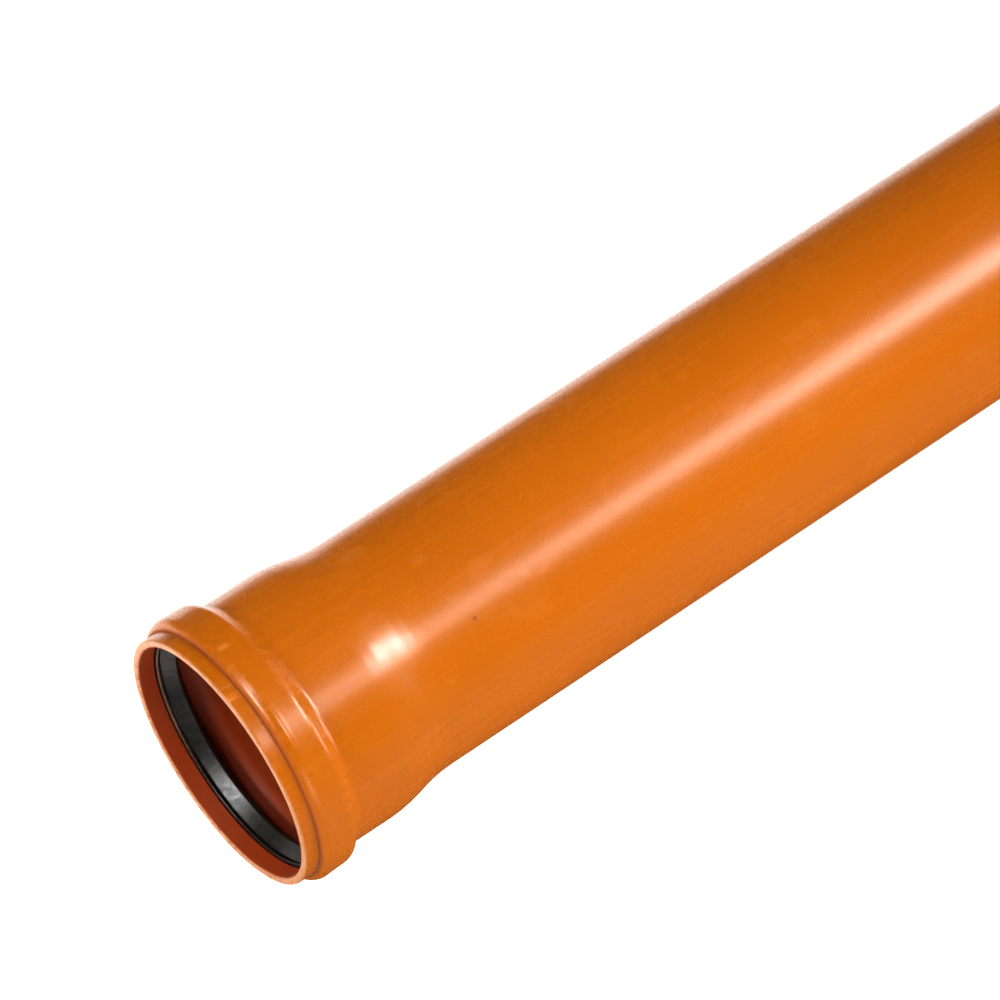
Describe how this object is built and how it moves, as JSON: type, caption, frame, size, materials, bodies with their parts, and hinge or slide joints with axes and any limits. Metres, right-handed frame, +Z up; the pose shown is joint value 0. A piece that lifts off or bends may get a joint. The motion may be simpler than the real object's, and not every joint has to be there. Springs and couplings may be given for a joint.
{
  "type": "drainage pipe",
  "caption": "Terracotta-orange push-fit plastic drain pipe: plain chamfered spigot at one end, belled socket with a raised ring bead and black rubber lip seal at the other.",
  "frame": {"origin": "middle of the lying pipe's base on the floor: centre of the bounding box in X and Y, lowest point in Z", "axes": "+Z up; +X from the socket's mouth towards the spigot end. The pipe lies on its bead and on its spigot's edge, so its own axis sinks about 0.56 degrees towards +X"},
  "size_m": [1.0676, 0.1302, 0.1301],
  "materials": {
    "pipe_plastic": "extruded PVC-U, semi-gloss, orange",
    "seal_rubber": "moulded black rubber, satin"
  },
  "bodies": {
    "root": {"pipe": "pipe_plastic", "sealing_ring": "seal_rubber"}
  },
  "joints": []
}
